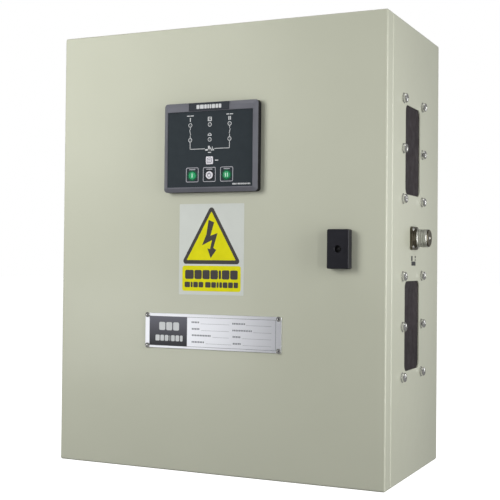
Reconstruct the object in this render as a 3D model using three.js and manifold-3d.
// Wall-mounted automatic transfer switch cabinet.
// Millimetres, +Z up. The origin is the centre of the cabinet's back face, the front looks
// towards -Y, and the door is hinged on the left (-X) inside its own folded edge.

import * as THREE from "three";
import { mergeVertices } from "three/addons/utils/BufferGeometryUtils.js";
import Module from "manifold-3d";

const wasm = await Module();
wasm.setup();

// ---------------------------------------------------------------- driving dimensions

const GAP = 0.3; // clearance kept between neighbouring pieces
const ROUND = 16; // sides of an ordinary round piece
const SMALL_ROUND = 8; // sides of a screw or a stud
const PIN_SIDES = 6; // sides of a contact pin

const CABINET = { width: 480, height: 600, depth: 250, sheet: 1.5 };
const DOOR = { skirt: 20, seam: 3 }; // depth of the folded edge, and the slot left behind it
const BODY_FRONT = -(CABINET.depth - DOOR.skirt - DOOR.seam); // plane of the body's front flange
const DOOR_FRONT = -CABINET.depth;
const RIM = { gutter: 32, lip: 12 }; // width of the rain gutter, height of the lip inside it
const GASKET = { width: 10, thickness: 8.9 };

const WALL_HOLES = { x: 200, z: 260, radius: 5 };

const HINGE = {
  x: -CABINET.width / 2 + 8,
  y: DOOR_FRONT + 9,
  height: 200, // of each hinge above or below the middle
  pinRadius: 3,
  pinHead: 2,
  knuckleRadius: 5,
  knuckleLength: 49.2,
  ear: 3,
  earClearance: 0.4,
  armBack: 1.8, // the turning skirt passes just behind the arm
  legX: [14.3, 18.3],
  footX: 22,
  leaf: 2,
  leafRun: [-6.5, 9],
};

const LOCK = {
  x: 180,
  z: 0,
  width: 29,
  height: 50,
  thickness: 12,
  corner: 2,
  bevel: 1,
  barrel: 10,
  barrelEnd: 19,
  keyway: { radius: 4.5, depth: 7 },
  bit: { width: 5.6, height: 2, length: 3 }, // double bit for the cabinet key
  spindle: 6,
  square: 4,
  nut: { radius: 15, thickness: 5 },
  cam: { halfWidth: 9, thickness: 3, reach: 42 },
};

const CONTROLLER = {
  x: -1,
  z: 135,
  width: 139,
  height: 120,
  corner: 6,
  proud: 13, // of the door
  slopeDepth: 4, // the bezel's border slopes back to its straight side
  slopeWidth: 5.2,
  lip: 1.2, // of the bezel in front of the face
  cutWidth: 130,
  cutHeight: 111,
  windowWidth: 126,
  windowHeight: 101,
  windowDrop: 2.8, // the bottom border is narrower than the top one
  sheet: 2, // thickness of the face and of the light guide
  caseDepth: 38,
  caseWall: 2.5,
};
const LAMPS = { columnPitch: 29.2, rows: [29.6, 9.7], radius: 1.4 };
const KEYS = {
  pitch: 25.5,
  row: -37.8,
  lampRow: -18.2,
  radius: 5.2,
  proud: 0.6, // of the face
  flange: 1.1, // wider than the cap
  stem: 2.5,
  travel: 1,
};
const BOARD_FRONT = -1.6; // of the controller's circuit board, from the door's front
const RELAYS = { x: [-40, -15, 10], width: 19, depth: 15.5, z: [20, 35] };
const PLUG_BLOCK = { x: 52, depth: 11, z: [-46, -30] };

const NAMEPLATE = {
  x: -1,
  z: -111.5,
  width: 202,
  height: 47,
  thickness: 1,
  screwX: 97.5,
  screwZ: 20.8,
  screwHead: 3.5,
  screwShank: 1.5,
};
const HAZARD_LABEL = { x: -3, z: -1, width: 96.5, height: 122 };

const GLAND = {
  y: -135,
  z: [132.5, -99.5],
  width: 70,
  height: 118,
  corner: 6,
  boltY: 45.5,
  boltZ: 65.5,
  boltRadius: 3,
  headRadius: 5.8,
  headHeight: 5.2,
  margin: 8, // of the sheet and its clamp outside the bolts
  sheet: 3,
  clamp: 2,
};
const SOCKET = {
  y: -131,
  z: 16.5,
  flange: 31,
  flangeThickness: 3,
  shell: 11,
  wall: 1.8, // of the shell
  back: -14, // of the shell, from the cabinet's outer face
  front: 16,
  pins: 6,
  pinCircle: 5,
  pinRun: [-4, 9.2],
  ring: 12,
  ringStart: 7,
  lip: 1.5, // of the ring over the shell's end
  lipBore: 9,
  capEdge: 4,
};

const PLATE = { width: 390, height: 500, thickness: 2, standoff: 20, studX: 180, studZ: 235 };
const STUD = { radius: 4, length: 12, shoulder: 8 };
const PLATE_FRONT = -(PLATE.standoff + PLATE.thickness);

const SWITCH = {
  x: -15, // middle of the transfer switch on the mounting plate
  z: -30,
  poles: 4,
  pitch: 42.5,
  unitX: -38, // middle of the switch units, from the middle of the tray
  unitZ: 50,
  unitHeight: 84,
  baseDepth: 50,
  coverDepth: 28,
  ledge: 14, // length of a terminal ledge
  ledgeHeight: 20,
  barrier: 4, // between two terminal ledges
  chamber: { width: 34, height: 44, depth: 38 },
  vent: { width: 20, depth: [8, 14] },
  blade: { reach: 20, thickness: 4, width: 14 },
  shaftY: -30,
  shaftRadius: 7,
};
const UNIT_WIDTH = SWITCH.poles * SWITCH.pitch;
const TRAY = { halfWidth: 126, halfHeight: 105, sheet: 2, lip: 10 };
const ON_TRAY = -(TRAY.sheet + 2 * GAP); // back of whatever stands on the tray
const LOAD_BAR = { width: 18, thickness: 3, stud: 4, studLength: 13 };

const DRIVE = { x: 87, width: 70, height: 184, depth: 92, wall: 2 };
const MOTOR = { radius: 19, length: 55, z: -48, plate: 24, plateThickness: 3, boss: 6 };
const HANDLE = { spindle: 9, knob: 15, knobDepth: 12, width: 16, length: 92, leverDepth: 12 };

const RAIL = { x: -15, z: 205, length: 300, depth: 7.5, lip: 17.5, web: 13.5, sheet: 1 };
const TERMINALS = { x: [-140, -20], ways: 12, depth: 38, halfHeight: 24, entryZ: 14, entry: [6, 8, 12] };
const BREAKER = {
  x: 40,
  halfWidth: 18,
  halfHeight: 42,
  depth: 44,
  nose: { halfHeight: 22, depth: 58 },
  slot: { halfWidth: 13, halfHeight: 9, depth: 16 },
  lever: { axle: 5, halfWidth: 11, reach: 15, thickness: 3.6, tilt: 25 },
};
const EARTH_BAR = {
  x: -20,
  z: -215,
  halfLength: 110,
  halfWidth: 9,
  y: [-22, -18],
  studs: 9,
  pitch: 22,
  stud: 3.5,
  studLength: 5,
  footWidth: 14,
};

// ---------------------------------------------------------------- materials

const finish = (color, roughness, metalness) =>
  new THREE.MeshStandardMaterial({ color, roughness, metalness });
const PAINT = finish(0xb5b6a4, 0.45, 0);
const GALVANISED = finish(0xb9bcbe, 0.35, 1);
const ZINC = finish(0xc9cac6, 0.3, 1);
const ALUMINIUM = finish(0xdcdedf, 0.3, 1);
const OLIVE = finish(0x5a5548, 0.4, 1);
const COPPER = finish(0xc07a4c, 0.3, 1);
const RUBBER = finish(0x2b282c, 0.8, 0);
const BLACK_PLASTIC = finish(0x26262a, 0.5, 0);
const GREY_PLASTIC = finish(0x77787d, 0.5, 0);
const FACE_FILM = finish(0x2e3338, 0.6, 0);
const CLEAR_PLASTIC = finish(0xd8dcdc, 0.2, 0);
const GREEN_KEY = finish(0x35a06b, 0.5, 0);
const WHITE_KEY = finish(0xe6e6ea, 0.5, 0);
const BOARD = finish(0x1e6b3a, 0.6, 0);
const LABEL_FILM = finish(0xcfd2d3, 0.5, 0);
const LIGHT_PLASTIC = finish(0xd6d5cd, 0.5, 0);
const WIRE = finish(0x2a2a2c, 0.6, 0);
const EARTH_WIRE = finish(0x7f9d2e, 0.6, 0);

// ---------------------------------------------------------------- shapes and booleans

function bare(geometry) {
  const source = geometry.index ? geometry.toNonIndexed() : geometry;
  const copy = new THREE.BufferGeometry();
  copy.setAttribute("position", source.getAttribute("position"));
  return mergeVertices(copy, 1e-4);
}

function solid(geometry) {
  const merged = bare(geometry);
  const all = merged.index.array;
  const kept = [];
  for (let i = 0; i < all.length; i += 3) {
    const [a, b, c] = [all[i], all[i + 1], all[i + 2]];
    if (a !== b && b !== c && a !== c) kept.push(a, b, c);
  }
  const vertProperties = merged.attributes.position.array;
  const triVerts = new Uint32Array(kept);
  return new wasm.Manifold(new wasm.Mesh({ numProp: 3, vertProperties, triVerts }));
}

function geometryOf(manifold) {
  const mesh = manifold.getMesh();
  const geometry = new THREE.BufferGeometry();
  geometry.setAttribute("position", new THREE.BufferAttribute(mesh.vertProperties, 3));
  geometry.setIndex(new THREE.BufferAttribute(mesh.triVerts, 1));
  return geometry;
}

const join = (first, ...more) => more.reduce((sum, next) => sum.add(solid(next)), solid(first));
const cut = (whole, ...tools) => tools.reduce((rest, tool) => rest.subtract(solid(tool)), whole);

function box(x, y, z) {
  const size = [x, y, z].map(([low, high]) => high - low);
  const middle = [x, y, z].map(([low, high]) => (low + high) / 2);
  return new THREE.BoxGeometry(...size).translate(...middle);
}

const AXIS_TURN = {
  x: new THREE.Matrix4().makeRotationZ(-Math.PI / 2),
  y: new THREE.Matrix4(),
  z: new THREE.Matrix4().makeRotationX(Math.PI / 2),
};

// A round bar along an axis. The middle is its place on the other two axes, in X, Y, Z order.
function bar(axis, radius, [low, high], middle = [0, 0], sides = ROUND) {
  const at = (low + high) / 2;
  const [u, v] = middle;
  const place = { x: [at, u, v], y: [u, at, v], z: [u, v, at] }[axis];
  return new THREE.CylinderGeometry(radius, radius, high - low, sides)
    .applyMatrix4(AXIS_TURN[axis])
    .translate(...place);
}

// A turned piece along +X or -Y. The outline lists [distance along the axis, radius].
function turned(axis, outline, sides = ROUND) {
  const profile = outline.map(([along, radius]) => new THREE.Vector2(radius, along));
  const piece = new THREE.LatheGeometry(profile, sides);
  return axis === "x" ? piece.applyMatrix4(AXIS_TURN.x) : piece.rotateX(Math.PI);
}

function roundedRectangle(width, height, radius) {
  const [w, h] = [width / 2, height / 2];
  const shape = new THREE.Shape();
  shape.moveTo(-w + radius, -h);
  shape.absarc(w - radius, -h + radius, radius, -Math.PI / 2, 0);
  shape.absarc(w - radius, h - radius, radius, 0, Math.PI / 2);
  shape.absarc(-w + radius, h - radius, radius, Math.PI / 2, Math.PI);
  shape.absarc(-w + radius, -h + radius, radius, Math.PI, 1.5 * Math.PI);
  return shape;
}

// A shape drawn as seen from the front, in X and Z, with its thickness from y0 to y1.
function frontSlab(shape, [y0, y1]) {
  const options = { depth: y1 - y0, curveSegments: 4, bevelEnabled: false };
  return new THREE.ExtrudeGeometry(shape, options).rotateX(Math.PI / 2).translate(0, y1, 0);
}

// The same with a slope round its front edge, as deep and as wide as given.
function slopedSlab(shape, [y0, y1], depth, width) {
  const options = {
    depth: y1 - y0 - depth,
    curveSegments: 4,
    bevelThickness: depth,
    bevelSize: width,
    bevelOffset: -width,
    bevelSegments: 1,
  };
  const slab = new THREE.ExtrudeGeometry(shape, options).rotateX(Math.PI / 2).translate(0, y1, 0);
  const far = 500;
  return cut(solid(slab), box(both(far), [y1, y1 + 2 * depth], both(far)));
}

// The same seen from the right, in Y and Z, with its thickness from x0 to x1.
function sideSlab(shape, [x0, x1]) {
  const turn = new THREE.Matrix4().makeBasis(
    new THREE.Vector3(0, 1, 0),
    new THREE.Vector3(0, 0, 1),
    new THREE.Vector3(1, 0, 0),
  );
  return new THREE.ExtrudeGeometry(shape, { depth: x1 - x0, bevelEnabled: false, curveSegments: 4 })
    .applyMatrix4(turn)
    .translate(x0, 0, 0);
}

function mesh(name, material, shape) {
  const geometry = shape.isBufferGeometry ? shape : geometryOf(shape);
  const made = new THREE.Mesh(geometry, material);
  made.name = name;
  return made;
}

function group(position, ...children) {
  const made = new THREE.Group();
  made.position.set(...position);
  made.add(...children);
  return made;
}

const both = (value) => [-value, value];
const corners = (x, z) => both(x).flatMap((cx) => both(z).map((cz) => [cx, cz]));

// ---------------------------------------------------------------- cabinet body

const HALF_WIDTH = CABINET.width / 2;
const HALF_HEIGHT = CABINET.height / 2;
const SHEET = CABINET.sheet;
const OPENING_X = HALF_WIDTH - RIM.gutter;
const OPENING_Z = HALF_HEIGHT - RIM.gutter;

function glandBolts(radius, [x0, x1]) {
  const rows = [-GLAND.boltZ, 0, GLAND.boltZ];
  return both(GLAND.boltY).flatMap((y) =>
    rows.map((z) => bar("x", radius, [x0, x1], [y, z], SMALL_ROUND)),
  );
}

// The welded front frame: a flat flange all round and the rain lip along its inner edge.
function enclosureRim() {
  const flange = box(both(HALF_WIDTH), [BODY_FRONT, BODY_FRONT + SHEET], both(HALF_HEIGHT));
  const lip = box(both(OPENING_X), [BODY_FRONT - RIM.lip, BODY_FRONT + SHEET], both(OPENING_Z));
  const mouth = box(
    both(OPENING_X - SHEET),
    [BODY_FRONT - RIM.lip - 1, BODY_FRONT + SHEET + 1],
    both(OPENING_Z - SHEET),
  );
  return mesh("enclosure_rim", PAINT, cut(join(flange, lip), mouth));
}

function enclosureBody() {
  const front = BODY_FRONT + SHEET + GAP; // just behind the welded frame
  let body = cut(
    solid(box(both(HALF_WIDTH), [front, 0], both(HALF_HEIGHT))),
    box(both(HALF_WIDTH - SHEET), [front - 1, -SHEET], both(HALF_HEIGHT - SHEET)),
  );

  const wall = [HALF_WIDTH - SHEET - 1, HALF_WIDTH + 1];
  for (const z of GLAND.z) {
    const window = sideSlab(roundedRectangle(GLAND.width, GLAND.height, GLAND.corner), wall);
    for (const tool of [window, ...glandBolts(GLAND.boltRadius + GAP, wall)]) {
      body = body.subtract(solid(tool.translate(0, GLAND.y, z)));
    }
  }
  body = cut(body, bar("x", SOCKET.shell + GAP, wall, [SOCKET.y, SOCKET.z]));

  for (const place of corners(WALL_HOLES.x, WALL_HOLES.z)) {
    body = cut(body, bar("y", WALL_HOLES.radius, [-SHEET - 1, 1], place, SMALL_ROUND));
  }
  for (const place of corners(PLATE.studX, PLATE.studZ)) {
    const seat = [-PLATE.standoff + GAP, -SHEET / 2];
    const shoulder = bar("y", STUD.shoulder, seat, place, SMALL_ROUND);
    const stud = bar("y", STUD.radius, [-PLATE.standoff - STUD.length, -SHEET], place, SMALL_ROUND);
    body = body.add(solid(shoulder)).add(solid(stud));
  }
  return mesh("enclosure_body", PAINT, body);
}

function mountingPlate() {
  const y = [PLATE_FRONT, -PLATE.standoff];
  const holes = corners(PLATE.studX, PLATE.studZ).map(([x, z]) =>
    bar("y", STUD.radius + 2 * GAP, [y[0] - 1, y[1] + 1], [x, z], SMALL_ROUND),
  );
  const sheet = box(both(PLATE.width / 2), y, both(PLATE.height / 2));
  return mesh("mounting_plate", GALVANISED, cut(solid(sheet), ...holes));
}

// ---------------------------------------------------------------- door

function doorPanel() {
  const pan = cut(
    solid(box(both(HALF_WIDTH), [0, DOOR.skirt], both(HALF_HEIGHT))),
    box(both(HALF_WIDTH - SHEET), [SHEET, DOOR.skirt + 1], both(HALF_HEIGHT - SHEET)),
  );
  const through = [-1, SHEET + 1];
  const { x, z, cutWidth, cutHeight } = CONTROLLER;
  const window = box(both(cutWidth / 2), through, both(cutHeight / 2)).translate(x, 0, z);
  const lockHole = bar("y", LOCK.barrel + 2 * GAP, through, [LOCK.x, LOCK.z]);
  const screwHoles = corners(NAMEPLATE.screwX, NAMEPLATE.screwZ).map(([sx, sz]) =>
    bar("y", NAMEPLATE.screwShank + GAP, through, [NAMEPLATE.x + sx, NAMEPLATE.z + sz], SMALL_ROUND),
  );
  return mesh("door_panel", PAINT, cut(pan, window, lockHole, ...screwHoles));
}

function doorGasket() {
  const y = [SHEET + GAP, SHEET + GAP + GASKET.thickness];
  const middle = RIM.gutter + SHEET / 2; // the foam is centred on the body's lip
  const ring = (offset) => [HALF_WIDTH - middle + offset, HALF_HEIGHT - middle + offset];
  const [outX, outZ] = ring(GASKET.width / 2);
  const [inX, inZ] = ring(-GASKET.width / 2);
  const foam = solid(box(both(outX), y, both(outZ)));
  return mesh("door_gasket", RUBBER, cut(foam, box(both(inX), [y[0] - 1, y[1] + 1], both(inZ))));
}

// Concealed hinge, in a frame on its own axis: a bracket on the body's front flange carries
// the pin, and the knuckle is fixed inside the door's folded edge.
function hinge(name, z) {
  const { pinRadius, pinHead, knuckleRadius, knuckleLength, ear, legX, leaf } = HINGE;
  const earInside = knuckleLength / 2 + HINGE.earClearance;
  const earOutside = earInside + ear;
  const flange = BODY_FRONT - HINGE.y - GAP;
  const earRadius = knuckleRadius + 0.5;

  let bracket = solid(box([legX[0], HINGE.footX], [flange - leaf, flange], both(earOutside)));
  for (const z0 of [earInside, -earOutside]) {
    const level = [z0, z0 + ear];
    bracket = bracket
      .add(solid(bar("z", earRadius, level)))
      .add(solid(box([0, legX[1]], [-earRadius, HINGE.armBack], level)))
      .add(solid(box(legX, [0, flange], level)));
  }
  bracket = cut(bracket, bar("z", pinRadius + GAP, both(earOutside + 1)));

  const pin = join(
    bar("z", pinRadius, [-earOutside - pinHead, earOutside + GAP]),
    bar("z", knuckleRadius - 0.5, [earOutside + GAP, earOutside + GAP + pinHead]),
  );

  const skirt = -CABINET.width / 2 + SHEET - HINGE.x; // inner face of the folded edge
  const plateX = [skirt + GAP, skirt + GAP + leaf];
  const plate = box(plateX, HINGE.leafRun, both(knuckleLength / 2 - 2 * GAP));
  const knuckle = cut(
    join(plate, bar("z", knuckleRadius, both(knuckleLength / 2))),
    bar("z", pinRadius + GAP, both(knuckleLength / 2 + 1)),
  );
  return group(
    [HINGE.x, HINGE.y, z],
    mesh(`hinge_bracket_${name}`, ZINC, bracket),
    mesh(`hinge_pin_${name}`, ZINC, pin),
    mesh(`hinge_knuckle_${name}`, ZINC, knuckle),
  );
}

// Cam lock: the cam hangs down when unlocked and turns behind the body's flange.
function lock() {
  const { width, height, corner, bevel, thickness, barrel, barrelEnd, keyway, square, cam } = LOCK;
  const camFront = BODY_FRONT + SHEET - DOOR_FRONT + 0.5;
  const camBack = camFront + cam.thickness;
  const keywayEnd = -thickness + keyway.depth;

  const outline = roundedRectangle(width, height, corner);
  const block = slopedSlab(outline, [-thickness - GAP, -GAP], bevel, bevel);
  const housing = cut(
    block.add(solid(bar("y", barrel, [-GAP - 1, barrelEnd]))),
    bar("y", keyway.radius, [-thickness - 1, keywayEnd]),
    bar("y", LOCK.spindle + GAP, [keywayEnd, barrelEnd + 1]),
  );

  const front = keywayEnd + GAP;
  const { bit } = LOCK;
  const spindle = join(
    bar("y", LOCK.spindle, [front, barrelEnd + 1.5]),
    box(both(square), [barrelEnd, camBack + 4], both(square)),
    box(both(bit.width / 2), [front - bit.length, front], both(bit.height / 2)),
  );

  const nut = cut(
    solid(bar("y", LOCK.nut.radius, [SHEET + GAP, SHEET + GAP + LOCK.nut.thickness], [0, 0], 6)),
    bar("y", barrel + GAP, [0, barrelEnd]),
  );
  const arm = cut(
    solid(box(both(cam.halfWidth), [camFront, camBack], [-cam.reach, cam.halfWidth])),
    box(both(square + GAP), [camFront - 1, camBack + 1], both(square + GAP)),
  );
  return group(
    [LOCK.x, 0, LOCK.z],
    mesh("lock_housing", BLACK_PLASTIC, housing),
    mesh("lock_nut", ZINC, nut),
    mesh("lock_spindle", ZINC, spindle),
    mesh("lock_cam", ZINC, arm),
  );
}

function nameplate() {
  const { x, z, width, height, thickness, screwX, screwZ, screwHead, screwShank } = NAMEPLATE;
  const y = [-thickness - GAP, -GAP];
  const places = corners(screwX, screwZ);
  const holes = places.map((place) =>
    bar("y", screwShank + GAP, [y[0] - 1, y[1] + 1], place, SMALL_ROUND),
  );
  const plate = cut(solid(box(both(width / 2), y, both(height / 2))), ...holes);
  const underHead = y[0] - GAP;
  const screws = places.map((place, i) => {
    const head = bar("y", screwHead, [underHead - 2, underHead], place, SMALL_ROUND);
    const shank = bar("y", screwShank, [underHead - 1, 5], place, SMALL_ROUND);
    return mesh(`nameplate_screw_${i + 1}`, ZINC, join(head, shank));
  });
  return group([x, 0, z], mesh("nameplate", ALUMINIUM, plate), ...screws);
}

function hazardLabel() {
  const { x, z, width, height } = HAZARD_LABEL;
  const film = box(both(width / 2), [-2 * GAP, -GAP], both(height / 2));
  return group([x, 0, z], mesh("hazard_label", LABEL_FILM, film));
}

// ---------------------------------------------------------------- controller in the door

const KEY_PLACES = [
  ["key_source_1", -KEYS.pitch, KEYS.row, GREEN_KEY],
  ["key_mode", 0, KEYS.row, WHITE_KEY],
  ["key_source_2", KEYS.pitch, KEYS.row, GREEN_KEY],
];
const LAMP_PLACES = [-1, 0, 1].flatMap((column) =>
  LAMPS.rows.map((row) => [column * LAMPS.columnPitch, row]),
);
const KEY_FLANGE = KEYS.radius + KEYS.flange;

const BEZEL_FRONT = -CONTROLLER.proud - GAP;
const FACE_FRONT = BEZEL_FRONT + CONTROLLER.lip + GAP;
const FACE_BACK = FACE_FRONT + CONTROLLER.sheet;
const GUIDE_FRONT = FACE_BACK + GAP; // of the light guide behind the face
const GUIDE_BACK = GUIDE_FRONT + CONTROLLER.sheet;

// A round or a square bar along Y, for a key of either kind.
const roundKey = (radius, y) => bar("y", radius, y);
const squareKey = (radius, y) => box(both(radius), y, both(radius));

function keyHoles(radius, through) {
  return [
    ...KEY_PLACES.map(([, x, z]) => roundKey(radius, through).translate(x, 0, z)),
    squareKey(radius, through).translate(0, 0, KEYS.lampRow),
  ];
}

function keyCap(name, x, z, material, outline) {
  const flange = [FACE_BACK + GAP, FACE_BACK + GAP + 1];
  const stem = [flange[1] - 0.2, BOARD_FRONT - KEYS.travel - GAP];
  const cap = join(
    outline(KEYS.radius, [FACE_FRONT - KEYS.proud, flange[1]]),
    outline(KEY_FLANGE, flange),
    bar("y", KEYS.stem, stem, [0, 0], SMALL_ROUND),
  );
  return group([x, 0, z], mesh(name, material, cap));
}

// The frame round the face: a straight side, a sloping border, and a thin lip over the face.
function controllerBezel() {
  const { width, height, corner, slopeDepth, slopeWidth, windowWidth, windowHeight } = CONTROLLER;
  const drop = -CONTROLLER.windowDrop;
  const outline = roundedRectangle(width, height, corner);
  const through = [BEZEL_FRONT - 1, 0];
  const facePocket = [BEZEL_FRONT + CONTROLLER.lip, 0];
  const pocketX = windowWidth / 2 + 1 + GAP;
  const pocketZ = windowHeight / 2 + 1 + GAP;
  return cut(
    slopedSlab(outline, [BEZEL_FRONT, -GAP], slopeDepth, slopeWidth),
    box(both(CONTROLLER.cutWidth / 2), [FACE_BACK, 0], both(CONTROLLER.cutHeight / 2)),
    box(both(pocketX), facePocket, both(pocketZ)).translate(0, 0, drop),
    box(both(windowWidth / 2), through, both(windowHeight / 2)).translate(0, 0, drop),
  );
}

function controllerFace() {
  const { windowWidth, windowHeight, windowDrop } = CONTROLLER;
  const sheet = box(both(windowWidth / 2 + 1), [FACE_FRONT, FACE_BACK], both(windowHeight / 2 + 1));
  const through = [FACE_FRONT - 1, FACE_BACK + 1];
  const lampHoles = LAMP_PLACES.map((place) =>
    bar("y", LAMPS.radius + GAP, through, place, SMALL_ROUND),
  );
  const holes = [...keyHoles(KEYS.radius + GAP, through), ...lampHoles];
  return cut(solid(sheet.translate(0, 0, -windowDrop)), ...holes);
}

const INSERT_X = CONTROLLER.cutWidth / 2 - GAP; // of what passes through the door's cut-out
const INSERT_Z = CONTROLLER.cutHeight / 2 - GAP;

function controllerLightGuide() {
  const posts = LAMP_PLACES.map((place) =>
    bar("y", LAMPS.radius, [FACE_FRONT - 0.1, GUIDE_BACK], place, SMALL_ROUND),
  );
  const sheet = box(both(INSERT_X), [GUIDE_FRONT, GUIDE_BACK], both(INSERT_Z));
  return cut(join(sheet, ...posts), ...keyHoles(KEY_FLANGE + GAP, [GUIDE_FRONT - 1, GUIDE_BACK + 1]));
}

function controllerBoard() {
  const board = box(both(INSERT_X - 4), [BOARD_FRONT, 0], both(INSERT_Z - 4));
  const relays = RELAYS.x.map((x) => box([x, x + RELAYS.width], [-0.5, RELAYS.depth], RELAYS.z));
  return join(board, ...relays);
}

function controllerCase() {
  const { caseDepth, caseWall } = CONTROLLER;
  const front = GUIDE_BACK + GAP;
  const shell = cut(
    solid(box(both(INSERT_X), [front, caseDepth], both(INSERT_Z))),
    box(both(INSERT_X - caseWall), [front - 1, caseDepth - caseWall], both(INSERT_Z - caseWall)),
  );
  const plugs = box(both(PLUG_BLOCK.x), [caseDepth - 1, caseDepth + PLUG_BLOCK.depth], PLUG_BLOCK.z);
  return shell.add(solid(plugs));
}

function controller() {
  return group(
    [CONTROLLER.x, 0, CONTROLLER.z],
    mesh("controller_bezel", GREY_PLASTIC, controllerBezel()),
    mesh("controller_face", FACE_FILM, controllerFace()),
    mesh("controller_light_guide", CLEAR_PLASTIC, controllerLightGuide()),
    mesh("controller_board", BOARD, controllerBoard()),
    mesh("controller_case", BLACK_PLASTIC, controllerCase()),
    ...KEY_PLACES.map(([name, x, z, material]) => keyCap(name, x, z, material, roundKey)),
    keyCap("key_lamp_test", 0, KEYS.lampRow, WHITE_KEY, squareKey),
  );
}

// ---------------------------------------------------------------- right wall

// A rubber gland sheet inside the window, and the clamp frame with its six screws.
function gland(name, z) {
  const outY = GLAND.boltY + GLAND.margin;
  const outZ = GLAND.boltZ + GLAND.margin;
  const wallInside = -SHEET - GAP;
  const sheetX = [wallInside - GLAND.sheet, wallInside];
  const clampX = [sheetX[0] - GAP - GLAND.clamp, sheetX[0] - GAP];
  const across = [clampX[0] - 1, 0];
  const sheet = cut(
    solid(sideSlab(roundedRectangle(2 * outY, 2 * outZ, 4), sheetX)),
    ...glandBolts(GLAND.boltRadius + GAP, across),
  );
  let clamp = cut(
    solid(sideSlab(roundedRectangle(2 * outY, 2 * outZ, 4), clampX)),
    sideSlab(roundedRectangle(GLAND.width + 4, GLAND.height - 4, GLAND.corner), across),
  );
  const pieces = [
    ...glandBolts(GLAND.boltRadius, [clampX[0] - 4, GAP + 1]),
    ...glandBolts(GLAND.headRadius, [GAP, GAP + GLAND.headHeight]),
  ];
  for (const piece of pieces) clamp = clamp.add(solid(piece));
  return group(
    [HALF_WIDTH, GLAND.y, z],
    mesh(`gland_sheet_${name}`, RUBBER, sheet),
    mesh(`gland_clamp_${name}`, ZINC, clamp),
  );
}

// Round control-cable socket with a screwed dust cap, in a frame on the wall's outer face.
function controlSocket() {
  const { flange, flangeThickness, shell, back, front, pinRun, ring, ringStart, lipBore } = SOCKET;
  const bore = shell - SOCKET.wall;
  const flangeX = [GAP, GAP + flangeThickness];
  const housing = cut(
    join(sideSlab(roundedRectangle(flange, flange, 4), flangeX), bar("x", shell, [back, front])),
    bar("x", bore, [back - 1, front + 1]),
  );

  const pins = Array.from({ length: SOCKET.pins }, (_, i) => (i * 2 * Math.PI) / SOCKET.pins).map(
    (angle) => {
      const place = [SOCKET.pinCircle * Math.cos(angle), SOCKET.pinCircle * Math.sin(angle)];
      return bar("x", 1, pinRun, place, PIN_SIDES);
    },
  );
  const middlePin = bar("x", 1, pinRun, [0, 0], PIN_SIDES);
  const insert = join(bar("x", bore - GAP, [back + 2, pinRun[1] - 3]), ...pins, middlePin);

  const plug = shell - GAP; // radius of the cap's collar, caught behind the ring's lip
  const lipStart = front + 1.5;
  const ringEnd = lipStart + SOCKET.lip;
  const collar = turned("x", [
    [ringStart, shell + GAP],
    [ringStart, ring],
    [ringEnd, ring],
    [ringEnd, lipBore],
    [lipStart, lipBore],
    [lipStart, shell + GAP],
    [ringStart, shell + GAP],
  ]);
  const capEnd = ringEnd + SOCKET.capEdge;
  const cap = turned("x", [
    [front + GAP, 0],
    [front + GAP, plug],
    [lipStart - GAP, plug],
    [lipStart - GAP, lipBore - GAP],
    [ringEnd + GAP, lipBore - GAP],
    [ringEnd + GAP, ring - GAP],
    [capEnd - 2, ring - GAP],
    [capEnd, ring - 2],
    [capEnd, 0],
  ]);
  return group(
    [HALF_WIDTH, SOCKET.y, SOCKET.z],
    mesh("socket_shell", OLIVE, housing),
    mesh("socket_insert", BLACK_PLASTIC, insert),
    mesh("socket_ring", ZINC, collar),
    mesh("socket_cap", OLIVE, cap),
  );
}

// ---------------------------------------------------------------- transfer switch

const POLE_X = Array.from(
  { length: SWITCH.poles },
  (_, i) => (i - (SWITCH.poles - 1) / 2) * SWITCH.pitch,
);

// One four-pole switch unit: an open base, its cover, and the contact shaft in it.
function switchUnit(name, z) {
  const { pitch, unitHeight, baseDepth, coverDepth, ledge, chamber, vent, blade } = SWITCH;
  const { shaftY, shaftRadius } = SWITCH;
  const halfWidth = UNIT_WIDTH / 2;
  const halfHeight = unitHeight / 2;
  const bodyHalf = halfHeight - ledge;
  const halfBay = (pitch - SWITCH.barrier) / 2;

  let base = solid(box(both(halfWidth), [-baseDepth, 0], both(halfHeight)));
  for (const px of POLE_X) {
    const bay = [px - halfBay, px + halfBay];
    const room = [px - chamber.width / 2, px + chamber.width / 2];
    const above = [-baseDepth - 1, -SWITCH.ledgeHeight];
    base = cut(
      base,
      box(bay, above, [bodyHalf, halfHeight + 1]),
      box(bay, above, [-halfHeight - 1, -bodyHalf]),
      box(room, [-baseDepth - 1, chamber.depth - baseDepth], both(chamber.height / 2)),
    );
  }
  base = cut(base, bar("x", shaftRadius + GAP, both(halfWidth + 1), [shaftY, 0]));

  const coverY = [-baseDepth - GAP - coverDepth, -baseDepth - GAP];
  let cover = solid(box(both(halfWidth), coverY, both(bodyHalf)));
  for (const px of POLE_X) {
    const room = [px - chamber.width / 2, px + chamber.width / 2];
    const ventX = [px - vent.width / 2, px + vent.width / 2];
    const ventY = vent.depth.map((depth) => coverY[0] + depth);
    cover = cut(
      cover,
      box(room, [coverY[0] + 3, coverY[1] + 1], both(chamber.height / 2)),
      box(ventX, ventY, both(bodyHalf + 1)),
    );
  }

  const bladeY = [shaftY - blade.thickness / 2, shaftY + blade.thickness / 2];
  const blades = POLE_X.map((px) =>
    box([px - blade.width / 2, px + blade.width / 2], bladeY, both(blade.reach)),
  );
  const shaftX = [-halfWidth + 2, halfWidth + 12]; // it reaches into the drive
  const shaft = join(bar("x", shaftRadius, shaftX, [shaftY, 0]), ...blades);
  return group(
    [SWITCH.unitX, ON_TRAY, z],
    mesh(`switch_base_${name}`, BLACK_PLASTIC, base),
    mesh(`switch_cover_${name}`, BLACK_PLASTIC, cover),
    mesh(`contact_shaft_${name}`, GALVANISED, shaft),
  );
}

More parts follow.
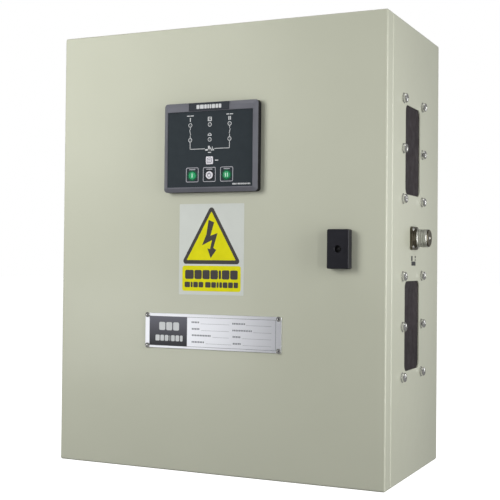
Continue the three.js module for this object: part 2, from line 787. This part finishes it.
// Copper links between the load ends of the two units, each with a stud for a cable lug.
function loadBars() {
  const { width, thickness, stud, studLength } = LOAD_BAR;
  const seat = ON_TRAY - SWITCH.ledgeHeight - GAP;
  const inner = SWITCH.unitZ - SWITCH.unitHeight / 2;
  const end = inner + SWITCH.ledge - 2;
  return POLE_X.map((px, i) => {
    const x = SWITCH.unitX + px;
    const link = box([x - width / 2, x + width / 2], [seat - thickness, seat], both(end));
    const studY = [seat - thickness - studLength, seat - 1];
    const post = bar("y", stud, studY, [x, 0], SMALL_ROUND);
    return mesh(`load_bar_${i + 1}`, COPPER, join(link, post));
  });
}

function driveHousing() {
  const [halfX, halfZ] = [DRIVE.width / 2, DRIVE.height / 2];
  const front = ON_TRAY - DRIVE.depth;
  const { wall } = DRIVE;
  const shaftHoles = both(SWITCH.unitZ).map((z) => {
    const place = [ON_TRAY + SWITCH.shaftY, z];
    return bar("x", SWITCH.shaftRadius + 2 * GAP, [-halfX - 1, -halfX + 2 * wall], place);
  });
  return cut(
    solid(box(both(halfX), [front, ON_TRAY], both(halfZ))),
    box(both(halfX - wall), [front + wall, ON_TRAY + 1], both(halfZ - wall)),
    bar("y", HANDLE.spindle + GAP, [front - 1, front + wall + 1]),
    ...shaftHoles,
  );
}

function driveMotor() {
  const { radius, length, z, plate, plateThickness, boss } = MOTOR;
  const foot = DRIVE.height / 2 + GAP;
  const can = foot + plateThickness;
  return join(
    box(both(plate), [z - plate, z + plate], [foot, can]),
    bar("z", radius, [can, can + length], [0, z]),
    bar("z", boss, [can + length - 1, can + length + 4], [0, z], SMALL_ROUND),
  );
}

function changeoverHandle() {
  const { spindle, knob, knobDepth, width, length, leverDepth } = HANDLE;
  const front = ON_TRAY - DRIVE.depth;
  const lever = [front - knobDepth - leverDepth, front - knobDepth];
  return join(
    bar("y", spindle, [front - knobDepth, front + 30]),
    bar("y", knob, [front - knobDepth - 2, front - 2]),
    frontSlab(roundedRectangle(width, length, width / 2), lever),
  );
}

function transferSwitch() {
  const { halfWidth, halfHeight, sheet, lip } = TRAY;
  const tray = join(
    box(both(halfWidth), [-sheet - GAP, -GAP], both(halfHeight)),
    box(both(halfWidth), [-lip, -GAP], [halfHeight - sheet, halfHeight]),
    box(both(halfWidth), [-lip, -GAP], [-halfHeight, -halfHeight + sheet]),
  );
  return group(
    [SWITCH.x, PLATE_FRONT, SWITCH.z],
    mesh("switch_tray", GALVANISED, tray),
    switchUnit("upper", SWITCH.unitZ),
    switchUnit("lower", -SWITCH.unitZ),
    ...loadBars(),
    group(
      [DRIVE.x, 0, 0],
      mesh("drive_housing", LIGHT_PLASTIC, driveHousing()),
      mesh("drive_motor", GALVANISED, driveMotor()),
      mesh("changeover_handle", RUBBER, changeoverHandle()),
    ),
  );
}

// ---------------------------------------------------------------- control rail and earth bar

const RAIL_FRONT = -GAP - RAIL.depth;
const ON_RAIL = RAIL_FRONT - GAP; // back of whatever is clipped to the rail

function dinRail() {
  const { lip, web, sheet } = RAIL;
  const length = both(RAIL.length / 2);
  const back = -GAP;
  return join(
    box(length, [RAIL_FRONT, RAIL_FRONT + sheet], [-lip, -web + sheet]),
    box(length, [RAIL_FRONT, RAIL_FRONT + sheet], [web - sheet, lip]),
    box(length, [RAIL_FRONT, back], [-web, -web + sheet]),
    box(length, [RAIL_FRONT, back], [web - sheet, web]),
    box(length, [back - sheet, back], both(web - sheet / 2)),
  );
}

function terminalBlock() {
  const { x, ways, depth, halfHeight, entryZ, entry } = TERMINALS;
  const [entryWidth, entryHeight, entryDepth] = entry;
  const front = ON_RAIL - depth;
  const pitch = (x[1] - x[0]) / ways;
  let terminals = solid(box(x, [front, ON_RAIL], both(halfHeight)));
  for (let way = 0; way < ways; way += 1) {
    const middle = x[0] + (way + 0.5) * pitch;
    const across = [middle - entryWidth / 2, middle + entryWidth / 2];
    for (const z of both(entryZ)) {
      const rise = [z - entryHeight / 2, z + entryHeight / 2];
      terminals = cut(terminals, box(across, [front - 1, front + entryDepth], rise));
    }
  }
  return terminals;
}

function controlBreaker() {
  const { x, halfWidth, halfHeight, depth, nose, slot } = BREAKER;
  const across = [x - halfWidth, x + halfWidth];
  const front = ON_RAIL - nose.depth;
  return cut(
    join(
      box(across, [ON_RAIL - depth, ON_RAIL], both(halfHeight)),
      box(across, [front, ON_RAIL - depth + 1], both(nose.halfHeight)),
    ),
    box([x - slot.halfWidth, x + slot.halfWidth], [front - 1, front + slot.depth], both(slot.halfHeight)),
  );
}

function breakerLever() {
  const { axle, halfWidth, reach, thickness, tilt } = BREAKER.lever;
  const lever = join(
    bar("x", axle, both(halfWidth + 1)),
    box(both(halfWidth), [-reach, -2], both(thickness / 2)),
  );
  const axleY = ON_RAIL - BREAKER.nose.depth + 7;
  const made = group([BREAKER.x, axleY, 0], mesh("breaker_lever", BLACK_PLASTIC, lever));
  made.rotation.x = THREE.MathUtils.degToRad(tilt); // down, which is off
  return made;
}

function controlRail() {
  return group(
    [RAIL.x, PLATE_FRONT, RAIL.z],
    mesh("din_rail", GALVANISED, dinRail()),
    mesh("terminal_block", LIGHT_PLASTIC, terminalBlock()),
    mesh("control_breaker", LIGHT_PLASTIC, controlBreaker()),
    breakerLever(),
  );
}

function earthBar() {
  const { x, z, halfLength, halfWidth, y, studs, pitch, stud, studLength, footWidth } = EARTH_BAR;
  const posts = Array.from({ length: studs }, (_, i) => (i - (studs - 1) / 2) * pitch).map((px) =>
    bar("y", stud, [y[0] - studLength, y[0] + 1], [px, 0], SMALL_ROUND),
  );
  const feet = [-halfLength + 1, halfLength - 1 - footWidth].map((left) =>
    box([left, left + footWidth], [y[1] - 1, -GAP], both(halfWidth)),
  );
  const strip = join(box(both(halfLength), y, both(halfWidth)), ...posts, ...feet);
  return group([x, PLATE_FRONT, z], mesh("earth_bar", COPPER, strip));
}

// ---------------------------------------------------------------- wiring across the hinge

function lead(name, material, radius, points) {
  const curve = new THREE.CatmullRomCurve3(points.map((p) => new THREE.Vector3(...p)));
  const section = new THREE.Shape();
  section.absarc(0, 0, radius, 0, 2 * Math.PI);
  const steps = Math.round(curve.getLength() / (5 * radius));
  const options = { extrudePath: curve, steps, curveSegments: 4 };
  return mesh(name, material, new THREE.ExtrudeGeometry(section, options));
}

const doorHarness = () =>
  lead("door_harness", WIRE, 6, [
    [-40, -194, 100],
    [-70, -190, 96],
    [-110, -203, 92],
    [-150, -224, 92],
    [-178, -230, 100],
    [-192, -222, 116],
    [-198, -200, 136],
    [-198, -165, 158],
    [-196, -120, 176],
    [-190, -80, 186],
    [-176, -58, 190],
    [-163, -52, 192],
  ]);

const earthLead = () =>
  lead("earth_lead", EARTH_WIRE, 3, [
    [-165, -238, -225],
    [-176, -232, -224],
    [-190, -226, -222],
    [-199, -212, -220],
    [-201, -190, -218],
    [-196, -150, -216],
    [-180, -95, -215],
    [-158, -60, -215],
    [-138, -44, -215],
    [-132, -38, -215],
  ]);

// ---------------------------------------------------------------- assembly

const door = group(
  [0, DOOR_FRONT, 0],
  doorPanel(),
  doorGasket(),
  lock(),
  nameplate(),
  hazardLabel(),
  controller(),
);

const cabinet = group(
  [0, 0, 0],
  enclosureBody(),
  enclosureRim(),
  mountingPlate(),
  door,
  hinge("upper", HINGE.height),
  hinge("lower", -HINGE.height),
  gland("upper", GLAND.z[0]),
  gland("lower", GLAND.z[1]),
  controlSocket(),
  transferSwitch(),
  controlRail(),
  earthBar(),
  doorHarness(),
  earthLead(),
);

export default cabinet;
